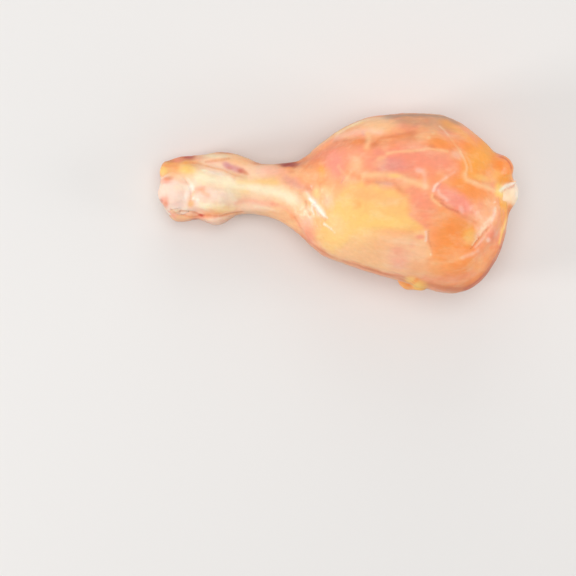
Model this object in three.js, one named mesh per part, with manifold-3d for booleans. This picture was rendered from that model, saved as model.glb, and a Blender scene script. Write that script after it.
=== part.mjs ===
// A raw skinless chicken drumstick, lying on its side: the flesh with its tendons, seams and fat, and the
// leg bone, which runs through the flesh and shows its cartilage at both ends. Millimetres, +Z up. +X runs
// from the ankle to the knee, and +Y is the far edge of the leg seen from in front.
import * as THREE from "three";
import { mergeVertices } from "three/addons/utils/BufferGeometryUtils.js";
import Module from "manifold-3d";

const wasm = await Module();
wasm.setup();

// Driving sizes.
const ANKLE_END = -65.2; // the flesh, along X, from the middle of the leg
const KNEE_END = 62.2;
const ANKLE_ROUNDING = 1.6; // the length over which each end of the flesh rounds off
const KNEE_ROUNDING = 5.0;
const CROWN = 2.1; // exponents of the section's upper and lower halves: 2 is an ellipse, more is squarer
const BELLY = 2.5;
const SAG = 1.6; // how softly the underside meets the surface that the leg lies on
const BONE_CLEARANCE = 0.3;

// The flesh is lofted through these sections: where each is along the leg, its far and near edges seen
// from above, and the heights of its underside and its top.
const SECTIONS = [
  { along: -65.2, far: 14.2, near: 0.4, under: 3.0, over: 16.0 },
  { along: -63.0, far: 14.8, near: -2.6, under: 0.2, over: 18.0 },
  { along: -60.0, far: 15.0, near: -6.2, under: -1.8, over: 19.2 },
  { along: -50.0, far: 17.0, near: -6.0, under: -2.6, over: 20.8 },
  { along: -43.8, far: 18.3, near: -8.1, under: -2.0, over: 20.4 },
  { along: -37.0, far: 17.6, near: -4.6, under: 1.2, over: 19.6 },
  { along: -28.0, far: 14.2, near: -4.4, under: 3.6, over: 20.2 },
  { along: -20.0, far: 14.4, near: -7.4, under: 4.2, over: 22.0 },
  { along: -14.0, far: 15.5, near: -11.9, under: 3.2, over: 25.2 },
  { along: -7.0, far: 20.9, near: -18.4, under: 1.4, over: 30.2 },
  { along: 0.0, far: 25.9, near: -21.6, under: -0.8, over: 35.0 },
  { along: 9.0, far: 29.9, near: -24.6, under: -3.2, over: 39.8 },
  { along: 30.0, far: 31.7, near: -30.6, under: -4.4, over: 44.2 },
  { along: 38.0, far: 30.7, near: -32.7, under: -3.2, over: 43.2 },
  { along: 46.0, far: 26.5, near: -31.6, under: 0.0, over: 40.2 },
  { along: 51.0, far: 22.2, near: -28.0, under: 2.0, over: 36.8 },
  { along: 56.0, far: 17.6, near: -20.8, under: 6.2, over: 32.6 },
  { along: 60.0, far: 16.0, near: -11.2, under: 10.4, over: 28.0 },
  { along: 62.2, far: 13.2, near: 0.4, under: 13.4, over: 24.6 },
];

// Tendons and folds stand proud, and the seams between muscles are sunk. Each runs through points given
// as [along, across], on the shown side or on the underside, and swells or sinks by height, within about
// twice its reach.
const SHOWN = 1;
const HIDDEN = -1;
const LINES = [
  { what: "long tendon over the shank", side: SHOWN, reach: 3.2, height: 1.1,
    through: [[-50, 10.4], [-36, 7.4], [-23, 4.6], [-14, 0.6], [-10, -5]] },
  { what: "far tendon", side: SHOWN, reach: 2.8, height: 0.7,
    through: [[-46, 15.2], [-34, 13.4], [-23, 11.2], [-14, 8.4]] },
  { what: "near tendon", side: SHOWN, reach: 2.4, height: 0.8,
    through: [[-48, -5.2], [-36, -2.4], [-24, -1.6], [-14, -4.6], [-9, -10.8]] },
  { what: "crease beside the far tendon", side: SHOWN, reach: 1.7, height: -1.2,
    through: [[-52, 13.6], [-41, 11.2], [-33, 9.4]] },
  { what: "rag of skin on the far edge of the ankle", side: SHOWN, reach: 2.2, height: 0.8,
    through: [[-58, 15.2], [-55, 16.4], [-52, 16.6]] },
  { what: "crease along the near edge of the ankle", side: SHOWN, reach: 1.5, height: -1.0,
    through: [[-56, -4.6], [-49, -3.8], [-41, -4.4]] },
  { what: "seam under the far muscle band", side: SHOWN, reach: 3.0, height: -0.9,
    through: [[-14, 15], [-3, 20], [8, 23.2], [17, 22.6], [29, 25.6], [40, 26.6]] },
  { what: "seam behind the knee band", side: SHOWN, reach: 3.0, height: -1.0,
    through: [[36, 26.6], [44, 16], [46, 9.6], [54, 5.6], [58, 3.6]] },
  { what: "narrow muscle in front of the knee", side: SHOWN, reach: 5.2, height: 1.1,
    through: [[34, 3.4], [43, -1.4], [53, -9]] },
  { what: "seam above the narrow muscle", side: SHOWN, reach: 3.0, height: -0.8,
    through: [[11, 10.6], [20, 9.6], [29, 6.8], [34, 3.6], [41, 8.2]] },
  { what: "fold round the knee", side: SHOWN, reach: 3.2, height: 1.0,
    through: [[57, -1.4], [53, -10.8], [46, -19.4], [37, -24]] },
  { what: "furrow outside the fold", side: SHOWN, reach: 2.6, height: -0.9,
    through: [[58.5, -4.5], [56, -11.5], [51, -19]] },
  { what: "far seam of the hidden side", side: HIDDEN, reach: 2.6, height: -1.3,
    through: [[-8, 12], [4, 18], [18, 24], [34, 25], [47, 18]] },
  { what: "near seam of the hidden side", side: HIDDEN, reach: 2.4, height: -1.1,
    through: [[-6, -8], [8, -17], [24, -22], [40, -23], [52, -14]] },
  { what: "far tendon of the hidden side", side: HIDDEN, reach: 2.6, height: 0.9,
    through: [[-40, 12], [-26, 10], [-14, 9], [-4, 10]] },
  { what: "near tendon of the hidden side", side: HIDDEN, reach: 2.4, height: 0.8,
    through: [[-40, -2], [-28, 0], [-16, -1], [-6, -4]] },
];

// Low swellings: the fat over the calf, the pad behind the ankle joint and the scrap of skin at the
// ankle.
const SWELLINGS = [
  { what: "fat over the calf", side: SHOWN, at: [15, -5], size: [19, 11], height: 0.9 },
  { what: "pad behind the ankle joint", side: SHOWN, at: [-45.5, 1.6], size: [5.5, 4.5], height: 1.0 },
  { what: "scrap of skin at the ankle", side: SHOWN, at: [-57, 12.5], size: [7, 4], height: 0.9 },
];

// The leg bone: a tapering shaft with a head at each end, and the crest beside the knee. Each joint's
// head is flat on top, and a groove round its middle makes two knuckles of it.
const SHAFT = { from: [-54, 2.6, 9.8], to: [54, 1.4, 20], middle: 4.2, flare: 6.6 };
const HEADS = [
  { what: "ankle joint", at: [-59.2, 3.4, 10.6], size: [6.6, 6.7, 9.4], turn: 0,
    flatness: 2.7, groove: 0.14 },
  { what: "knee joint", at: [58.8, 2.3, 20], size: [5.2, 6.8, 10.2], turn: -0.35,
    flatness: 2.3, groove: 0.1 },
  { what: "shin crest", at: [55.4, 6.6, 20.2], size: [5.4, 4.8, 7.2] },
];
const GROOVE_SPREAD = 0.3; // of the height of the head

// Fused to the flesh: the lump beside the knee joint, the strip of ligament over the joint, and the tag
// of fat on the near edge.
const LUMPS = [
  { what: "lump beside the knee joint", at: [55.6, 11.6, 21.5], size: [6.6, 5.7, 8.6], turn: 0 },
  { what: "ligament", at: [59.4, 5.6, 30.3], size: [3.9, 1.0, 1.3], turn: 0.45 },
  { what: "tag of fat, wide part", at: [26.2, -26.4, 8.6], size: [5.4, 5.6, 2.4], turn: -0.3 },
  { what: "tag of fat, narrow part", at: [30.2, -27.6, 9.6], size: [4.2, 4.2, 2.0], turn: 0.5 },
];

// The hollows in the flesh where the joints are bare.
const HOLLOWS = [
  { what: "top of the ankle joint", at: [-61.6, 3.2, 21.6], size: [9.6, 7.7, 8.6] },
  { what: "end of the ankle joint", at: [-67.6, 3.2, 10.2], size: [5.4, 7.6, 9.0] },
  { what: "end of the knee joint", at: [64.6, 1.2, 20], size: [6.0, 8.6, 11.5] },
];

// Mesh density.
const RINGS = 66;
const SIDES = 58;
const END_CROWDING = 0.55; // 0 spaces the rings evenly, and 1 crowds them towards the ends
const BALL_SIDES = 18;
const BALL_RINGS = 12;
const LINE_STEPS = 28;

const profile = new THREE.CubicInterpolant(
  SECTIONS.map((s) => s.along),
  SECTIONS.flatMap((s) => [s.far, s.near, s.under, s.over]),
  4,
);

// How far towards its full size the flesh has grown at a depth from one of its ends.
function rounding(depth, length) {
  return Math.sqrt(1 - THREE.MathUtils.clamp(1 - depth / length, 0, 1) ** 2);
}

// The middle and the half sizes of the section at one place along the leg, rounded off towards both ends.
function sectionAt(along) {
  const [far, near, under, over] = profile.evaluate(along);
  const round = rounding(along - ANKLE_END, ANKLE_ROUNDING) * rounding(KNEE_END - along, KNEE_ROUNDING);
  return {
    y: (far + near) / 2,
    z: (over + under) / 2,
    halfWidth: ((far - near) / 2) * round,
    halfHeight: ((over - under) / 2) * round,
  };
}

const signedPower = (value, power) => Math.sign(value) * Math.abs(value) ** power;

// A point of the plain flesh. The turn is 0 at the far edge and a quarter turn at the top.
function fleshPoint(along, turn) {
  const section = sectionAt(along);
  const power = 2 / (Math.sin(turn) > 0 ? CROWN : BELLY);
  return new THREE.Vector3(
    along,
    section.y + section.halfWidth * signedPower(Math.cos(turn), power),
    section.z + section.halfHeight * signedPower(Math.sin(turn), power),
  );
}

// The same surface, found by its place seen from above or from below.
function fleshUnder([along, across], side) {
  const section = sectionAt(along);
  const share = THREE.MathUtils.clamp((across - section.y) / section.halfWidth, -1, 1);
  const cosine = signedPower(share, (side === SHOWN ? CROWN : BELLY) / 2);
  return fleshPoint(along, side * Math.acos(cosine));
}

const routes = LINES.map((line) => {
  const curve = new THREE.CatmullRomCurve3(line.through.map((at) => fleshUnder(at, line.side)));
  return { ...line, points: curve.getPoints(LINE_STEPS) };
});
const bell = (share) => Math.exp(-(share ** 2));

// How far the surface stands out at a point of the plain flesh, from the tendons, seams and swellings.
function reliefAt(point) {
  let relief = 0;
  for (const route of routes) {
    const distance = Math.min(...route.points.map((p) => p.distanceTo(point)));
    relief += route.height * bell(distance / route.reach);
  }
  for (const { side, at, size, height } of SWELLINGS) {
    const shares = [(point.x - at[0]) / size[0], (point.y - at[1]) / size[1]];
    const onSide = (point.z - sectionAt(point.x).z) * side > 0;
    if (onSide) relief += height * bell(Math.hypot(...shares) ** 2);
  }
  return relief;
}

// Flattens what would lie below the surface that the leg rests on, with a soft edge.
function settle(height) {
  return Math.max(0, (height + Math.hypot(height, SAG)) / 2 - SAG / 6);
}

function fleshVertex(along, turn) {
  const plain = fleshPoint(along, turn);
  const section = sectionAt(along);
  const outward = new THREE.Vector3(0, plain.y - section.y, plain.z - section.z).normalize();
  const vertex = plain.clone().addScaledVector(outward, reliefAt(plain));
  vertex.z = settle(vertex.z);
  return vertex;
}

// Where a ring lies along the flesh, from 0 at the ankle end to RINGS at the knee end.
function ringPlace(ring) {
  const even = ring / RINGS;
  const crowded = (1 - Math.cos(Math.PI * even)) / 2;
  return THREE.MathUtils.lerp(ANKLE_END, KNEE_END, THREE.MathUtils.lerp(even, crowded, END_CROWDING));
}

// Splits a square of the surface along the diagonal that passes nearer to the form's point in its middle.
function splitSquare([a, b, c, d], vertices, middle) {
  const miss = (from, to) => vertices[from].clone().lerp(vertices[to], 0.5).distanceTo(middle);
  return miss(a, c) <= miss(b, d) ? [a, b, c, a, c, d] : [b, c, d, b, d, a];
}

function fleshGeometry() {
  const vertices = [];
  const faces = [];
  for (let ring = 1; ring < RINGS; ring++)
    for (let side = 0; side < SIDES; side++)
      vertices.push(fleshVertex(ringPlace(ring), (2 * Math.PI * side) / SIDES));
  const ankleTip = vertices.push(fleshVertex(ANKLE_END, 0)) - 1;
  const kneeTip = vertices.push(fleshVertex(KNEE_END, 0)) - 1;
  const index = (ring, side) => (ring - 1) * SIDES + (side % SIDES);
  for (let side = 0; side < SIDES; side++) {
    faces.push(ankleTip, index(1, side + 1), index(1, side));
    faces.push(kneeTip, index(RINGS - 1, side), index(RINGS - 1, side + 1));
    for (let ring = 1; ring < RINGS - 1; ring++) {
      const near = [index(ring, side), index(ring, side + 1)];
      const far = [index(ring + 1, side), index(ring + 1, side + 1)];
      const along = (ringPlace(ring) + ringPlace(ring + 1)) / 2;
      const middle = fleshVertex(along, (2 * Math.PI * (side + 0.5)) / SIDES);
      faces.push(...splitSquare([...near, ...far.reverse()], vertices, middle));
    }
  }
  const geometry = new THREE.BufferGeometry().setFromPoints(vertices);
  return geometry.setIndex(faces);
}

// A ball of three half sizes, turned about the vertical. Its flatness is 2 for an egg, and more for a flat
// top and bottom. The groove round its middle is a share of its width.
function ballGeometry({ at, size, turn = 0, flatness = 2, groove = 0 }, extra = 0) {
  const ball = new THREE.SphereGeometry(1, BALL_SIDES, BALL_RINGS).rotateX(Math.PI / 2);
  const { position } = ball.attributes;
  for (let i = 0; i < position.count; i++) {
    const [x, y, z] = [position.getX(i), position.getY(i), position.getZ(i)];
    const bulge = (Math.hypot(x, y) ** flatness + Math.abs(z) ** flatness) ** (-1 / flatness);
    const waist = 1 - groove * bell(z / GROOVE_SPREAD);
    position.setXYZ(i, x * bulge * waist, y * bulge * waist, z * bulge);
  }
  return ball
    .scale(...size.map((s) => s + extra))
    .rotateZ(turn)
    .translate(...at);
}

// The shaft tapers to its middle by a cosine, and is turned about its own line from ankle to knee.
function shaftGeometry(extra = 0) {
  const from = new THREE.Vector3(...SHAFT.from);
  const to = new THREE.Vector3(...SHAFT.to);
  const length = from.distanceTo(to);
  const steps = 12;
  const outline = [new THREE.Vector2(0, 0)];
  for (let step = 0; step <= steps; step++) {
    const share = step / steps;
    const flare = ((1 + Math.cos(2 * Math.PI * share)) / 2) ** 3;
    const radius = THREE.MathUtils.lerp(SHAFT.middle, SHAFT.flare, flare);
    outline.push(new THREE.Vector2(radius + extra, share * length));
  }
  outline.push(new THREE.Vector2(0, length));
  const direction = to.clone().sub(from).normalize();
  const turn = new THREE.Quaternion().setFromUnitVectors(new THREE.Vector3(0, 1, 0), direction);
  return new THREE.LatheGeometry(outline, BALL_SIDES).applyQuaternion(turn).translate(...SHAFT.from);
}

function solidOf(geometry) {
  geometry.deleteAttribute("normal");
  geometry.deleteAttribute("uv");
  const merged = mergeVertices(geometry, 1e-4);
  const vertProperties = merged.attributes.position.array;
  const triVerts = new Uint32Array(merged.index.array);
  return new wasm.Manifold(new wasm.Mesh({ numProp: 3, vertProperties, triVerts }));
}

function geometryOf(solid) {
  const { vertProperties, triVerts } = solid.getMesh();
  const geometry = new THREE.BufferGeometry();
  geometry.setAttribute("position", new THREE.BufferAttribute(vertProperties, 3));
  geometry.setIndex(new THREE.BufferAttribute(triVerts, 1));
  geometry.computeVertexNormals();
  return geometry;
}

const joined = (solids) => solids.reduce((whole, solid) => whole.add(solid));
const largest = (solid) => solid.decompose().sort((a, b) => b.volume() - a.volume())[0];

const ballSolids = (balls, extra) => balls.map((ball) => solidOf(ballGeometry(ball, extra)));

function boneSolid(extra) {
  return joined([solidOf(shaftGeometry(extra)), ...ballSolids(HEADS, extra)]);
}

function fleshSolid() {
  const whole = joined([solidOf(fleshGeometry()), ...ballSolids(LUMPS)]);
  const hollows = joined([boneSolid(BONE_CLEARANCE), ...ballSolids(HOLLOWS)]);
  return largest(whole.subtract(hollows));
}

function named(name, solid, material) {
  const mesh = new THREE.Mesh(geometryOf(solid), new THREE.MeshStandardMaterial(material));
  mesh.name = name;
  return mesh;
}

const drumstick = new THREE.Group();
drumstick.add(named("flesh", fleshSolid(), { color: 0xf4a878, roughness: 0.35, metalness: 0 }));
drumstick.add(named("leg_bone", boneSolid(), { color: 0xf6e0c8, roughness: 0.3, metalness: 0 }));

// The origin is under the middle of the leg, on the surface that it lies on.
const bounds = new THREE.Box3().setFromObject(drumstick);
const middle = bounds.getCenter(new THREE.Vector3());
drumstick.position.set(-middle.x, -middle.y, -bounds.min.z);

export default drumstick;
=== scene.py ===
"""A raw skinless chicken drumstick on a pale floor, seen from straight above.

The flesh and the leg bone are finely remeshed from the frame's own solids. Tendons, seams, films and fat are
strokes laid on them: each stroke colours the surface and raises or sinks it. Some strokes are painted light:
glints and sheen in white and cream, and painted shade along the edges, on the walls and in creases. Lengths
are in millimetres, and in metres only in the data of meshes, lights and the camera. Plan places are (x, y):
x runs from the ankle to the knee, and y towards the far edge of the leg.
"""

import math

import bmesh
import bpy
import numpy as np
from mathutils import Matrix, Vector, noise
from mathutils.bvhtree import BVHTree


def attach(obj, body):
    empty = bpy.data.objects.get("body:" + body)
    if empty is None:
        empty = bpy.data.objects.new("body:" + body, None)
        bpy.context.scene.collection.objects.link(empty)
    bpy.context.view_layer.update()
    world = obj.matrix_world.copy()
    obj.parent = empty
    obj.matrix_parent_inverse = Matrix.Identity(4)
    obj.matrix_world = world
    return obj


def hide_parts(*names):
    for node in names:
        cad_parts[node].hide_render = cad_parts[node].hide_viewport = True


MM = 0.001

# Plan places are measured from here. The camera looks straight down from above the middle of the picture,
# which is beside the leg.
ORIGIN = Vector((0.86, 0.6, 0.0))
EYE = ORIGIN + Vector((-18.5, -30.9, 820.0))
PLANE = 20.0  # the height at which plan places are read, about that of the leg's outline
PICTURE_WIDTH = 206.0  # what the picture spans at that height
SENSOR = 36.0
DROP = Vector((0, 0, 100))  # a look from below starts this far under that height

# Sizes of the faces. Those that no view from above shows are merged until this share of them all is left.
FLESH_VOXEL = 0.42
FLESH_KEPT = 0.58
BONE_VOXEL = 0.45
UNDERSIDE_FROM = -0.2  # faces whose normals are lower than this are the underside
CLEAR = 0.3  # a look from the surface starts this far off it

# Where the joints meet the flesh, both are drawn to one surface, whose furrows are filled to this width.
JOINED_VOXEL = 0.6
JOINED_FILL = 1.6
JOINED_REACH = 3.3  # points within this of the other piece are drawn
OVERLAP = 0.8  # how far each piece reaches past the other's edge
OVERLAP_REACH = 2.5  # points within this of the edge are moved past it
JOINTS_FROM = 50.0  # the joints lie farther than this from the middle of the leg
JOINTS_FADE = 2.0

# Strokes: how finely their curves are drawn, how much their edges waver, and how sharp a spot's rim is.
CURVE_SPACING = 0.6
WOBBLE_SIZE = 3.2
LINE_WOBBLE = 0.3
SPOT_WOBBLE = 0.18
PATCH_WOBBLE = 0.8
SPOT_EDGE = 1.6
FACING_FADE = 0.25  # strokes fade out within this height of the normal, towards the other side
BOX_REACHES = 2.5  # a line shows within this many reaches, and the spare, round its box
BOX_SPARE = 1.0
FAR = 99.0  # a gap at which no stroke shows

# Unevenness of the surface.
SWELL_HEIGHT = 0.2
SWELL_SIZE = 5.5
DIMPLE_HEIGHT = 0.05
DIMPLE_SIZE = 1.6

# Painted shade: brown darkens the walls, the sides that turn away from the light. It comes in and goes out
# between these heights of the normal.
WALL_SHADE_STRENGTH = 0.4
WALL_SHADE_TOP = (0.2, -0.2)
WALL_SHADE_FOOT = (-0.95, -0.5)

NOISE_RANGE = (0.3, 0.7)  # what a material's noise mostly keeps to
FLOOR_HALF = 2.5  # half the floor's width in metres
FLOOR_DROP = 0.05
FLOOR_COLOUR = (230, 228, 226)
STUDIO_COLOUR = (1.0, 0.99, 0.98, 1)
STUDIO_STRENGTH = 0.48

# The side that a stroke lies on: the shown one faces up, and the hidden one down.
SHOWN = 1
HIDDEN = -1

# Every pattern of noise has a number of its own.
SEEDS = {"salmon": 1, "orange": 2, "peach": 3, "wobble": 4, "swells": 5, "dimples": 6, "cream": 7}

# Colours as they look, with red, green and blue out of 255.
PIGMENTS = {
    "flesh": (252, 172, 120),
    "salmon": (249, 150, 124),
    "pink": (250, 154, 138),
    "orange": (255, 150, 68),
    "amber": (252, 174, 76),
    "peach": (255, 198, 146),
    "fat": (255, 206, 122),
    # cream: tendons and pale flesh, and some painted glints and sheen
    "cream": (255, 237, 203),
    # white: painted highlights, the glints and wet sheen, and the ligament's and pale film's own white
    "white": (255, 248, 238),
    # film: a thin greyish film, laid at the far edge as its painted shade too
    "film": (184, 142, 118),
    "red": (196, 58, 28),
    "clot": (112, 38, 18),
    "mauve": (216, 146, 152),
    # brown: the flesh's own brown, and painted shade along the edges, on the walls and in creases
    "brown": (226, 132, 84),
    "cartilage": (255, 222, 204),
}

# Soft clouds over each piece's own colour: pigment, strength, the noise at which they come in, and size.
FLESH_CLOUDS = [
    ("salmon", 0.5, (-0.1, 0.5), 9),
    ("orange", 0.4, (0.0, 0.6), 11),
    ("peach", 0.5, (0.0, 0.6), 10),
]
BONE_CLOUDS = [("cream", 0.6, (-0.1, 0.5), 5)]


def stroke(kind, name, pigment, strength, lift, **shape):
    """A stroke on the shown side, with a name for those who read the tables."""
    return {"kind": kind, "name": name, "pigment": pigment, "strength": strength, "lift": lift,
            "side": SHOWN, **shape}


def line(name, pigment, through, reach, strength=1.0, lift=0.0):
    """A stroke along a smooth curve, which fades over its reach."""
    return stroke("line", name, pigment, strength, lift, through=through, reach=reach)


def spot(name, pigment, at, size, strength=1.0, turn=0.0, lift=0.0):
    """A soft oval of two half sizes, turned by an angle in the plan."""
    return stroke("spot", name, pigment, strength, lift, at=at, size=size, turn=turn)


def patch(name, pigment, outline, edge, strength=1.0, lift=0.0):
    """The inside of a smooth closed outline, whose border fades over its edge."""
    return stroke("patch", name, pigment, strength, lift, through=outline, edge=edge)


def underneath(strokes):
    """The same strokes on the hidden side."""
    return [{**given, "side": HIDDEN} for given in strokes]


# Broad fields of colour, from the ankle to the knee, with painted light and shade at the far and near edges.
FIELDS = [
    spot("pale shank", "peach", (-34, 4), (26, 10), 0.8),
    spot("pink near side of shank", "cartilage", (-32, -1.4), (8, 3.2), 0.5),
    spot("pale lower calf", "peach", (6, -13), (16, 9), 0.7, -0.2),
    spot("pink start of calf", "salmon", (0, 16.5), (8, 4.4), 0.6, 0.3),
    spot("brown start of calf", "brown", (-9, 15), (5.5, 2.6), 0.5, 0.75),
    spot("pink upper calf", "salmon", (23, 15), (19, 6.5), 0.85, 0.05),
    spot("greyish pink upper calf", "mauve", (18, 13), (6, 3), 0.35),
    spot("orange lower calf", "orange", (41, -15), (10, 14), 0.9, 0.15),
    spot("salmon flesh beside fat", "salmon", (29.5, -2), (4, 7), 0.5, 0.5),
    spot("orange band before knee", "orange", (49, 15), (7, 14), 0.95, -0.75),
    spot("amber band before knee", "amber", (50, 15), (5, 9), 0.7, -0.7),
    spot("orange above calf", "orange", (37, 20.4), (6, 2.4), 0.8, -0.1),
    spot("orange beside narrow muscle", "orange", (48, 3.4), (6, 3), 0.75, -0.15),
    spot("flesh over fork", "salmon", (39, 12.4), (5, 3.6), 0.6, -0.3),
    line("pale far edge", "peach", [(-10, 18), (-3, 23), (3, 27), (10, 28.6), (19, 28.4)], 3, 0.8),
    line("yellowish far edge", "fat", [(-1, 24.6), (3, 26.8), (8, 28.4)], 1.2, 0.45),
    # Painted light: cream lightens the far edge's steep slope, over the pale rim's own colour.
    line("bright far edge", "cream", [(0, 24.8), (4, 27.2), (10, 29.4), (17, 30)], 1.8, 0.45),
    spot("cream flesh at far edge", "peach", (14, 27), (5.5, 2.4), 0.8),
    # Painted shade: grey film darkens the far edge where it turns from the light, over a thin film of its
    # own.
    line("thin film and painted shade at far edge", "film", [(22, 28.8), (30, 28.2), (38, 27.6)], 2.6, 0.5),
    line("thick film and painted shade at far edge", "film",
         [(18, 30.6), (24, 31), (32, 30.8), (38, 30), (41, 28.6)], 2.7, 0.85),
    line("amber flesh at far edge", "amber", [(38, 28), (42, 26), (46, 22.6)], 2.2, 0.5),
    # Painted shade: the next five strokes darken the near edge and the rim beside the knee in brown, orange
    # and red, where the leg turns away from the light.
    line("painted shade along near edge of calf", "brown",
         [(-13, -12.8), (-6, -18), (0, -20.6), (9, -23.6), (18, -26.4), (25, -28.6)], 1.6, 0.8),
    line("shaded near edge", "brown",
         [(30, -29), (36, -30.6), (42, -31.2), (48, -29.2), (53, -25)], 2.6, 0.85),
    patch("shaded edge beside knee", "brown",
          [(60, -11), (57.6, -12.6), (55.2, -17.6), (53.2, -21.4), (51, -24.6), (48.2, -27.4), (44, -29.8),
           (38, -31.2), (44, -34), (51, -31), (56, -25), (59.6, -18)], 0.8, 0.6),
    line("orange painted shade along edge", "orange", [(57.6, -13), (55.6, -19), (51.8, -25), (46, -29.4)], 1.6, 0.5),
    patch("painted dark shade on rim beside knee", "red",
          [(60, -13), (57.6, -15.8), (56.2, -18.6), (54.8, -21.2), (52.8, -24), (50.4, -26.8), (47.4, -29.4),
           (44, -31.2), (50, -33), (56, -26), (60, -18)], 0.6, 0.5),
    line("salmon near edge", "salmon", [(18, -25), (28, -27), (38, -28), (47, -26)], 2.2, 0.4),
]

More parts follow.
